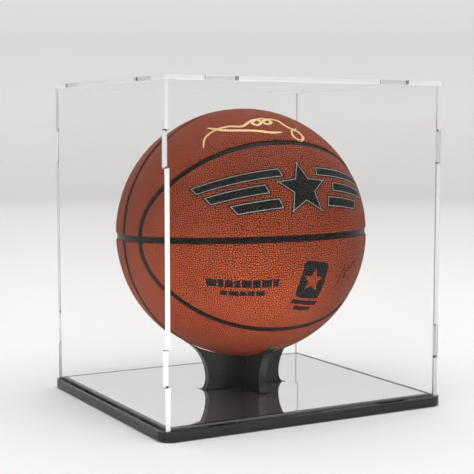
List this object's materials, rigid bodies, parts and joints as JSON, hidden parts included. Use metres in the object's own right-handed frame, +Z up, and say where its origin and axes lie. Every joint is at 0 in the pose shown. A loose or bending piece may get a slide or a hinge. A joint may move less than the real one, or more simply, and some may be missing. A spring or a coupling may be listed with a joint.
{
  "type": "ball display case",
  "caption": "Clear finger-jointed display case on a black mirrored base, with a lift-off cover and lid, holding a basketball on a cross stand.",
  "frame": {"origin": "on the ground under the middle of the base board", "axes": "+Z up, X along the wider face (front at -Y), Y along the narrower side faces"},
  "size_m": [0.294, 0.261, 0.306],
  "materials": {
    "base_black": "black board, satin edges and a glossy top",
    "mirror": "silvered mirror plate",
    "pad_rubber": "soft black rubber",
    "stand_black": "satin black, smooth",
    "clear_acrylic": "clear polished acrylic sheet",
    "ball_leather": "orange-brown pebbled leather",
    "channel_rubber": "black rubber, seen in the channels",
    "bladder_rubber": "butyl rubber",
    "winding_thread": "wound nylon thread",
    "valve_rubber": "black rubber plug"
  },
  "bodies": {
    "base": {"base_board": "base_black", "mirror_plate": "mirror", "foot_pad_1": "pad_rubber", "foot_pad_2": "pad_rubber", "foot_pad_3": "pad_rubber", "foot_pad_4": "pad_rubber", "stand_plate_x": "stand_black", "stand_plate_y": "stand_black"},
    "cover": {"wall_front": "clear_acrylic", "wall_back": "clear_acrylic", "wall_left": "clear_acrylic", "wall_right": "clear_acrylic"},
    "lid": {"top_panel": "clear_acrylic"},
    "ball": {"ball_bladder": "bladder_rubber", "ball_winding": "winding_thread", "ball_carcass": "channel_rubber", "ball_valve": "valve_rubber", "ball_panel_1": "ball_leather", "ball_panel_2": "ball_leather", "ball_panel_3": "ball_leather", "ball_panel_4": "ball_leather", "ball_panel_5": "ball_leather", "ball_panel_6": "ball_leather", "ball_panel_7": "ball_leather", "ball_panel_8": "ball_leather"}
  },
  "joints": [
    {"name": "cover_lift", "type": "slide", "parent": "base", "child": "cover", "axis": [0, 0, 1], "range_m": [0, 0.3]},
    {"name": "lid_lift", "type": "slide", "parent": "cover", "child": "lid", "axis": [0, 0, 1], "range_m": [0, 0.12]},
    {"name": "ball_turn", "type": "hinge", "parent": "base", "child": "ball", "pos_m": [0, 0, 0.162], "axis": [0, 0, 1], "continuous": true}
  ]
}
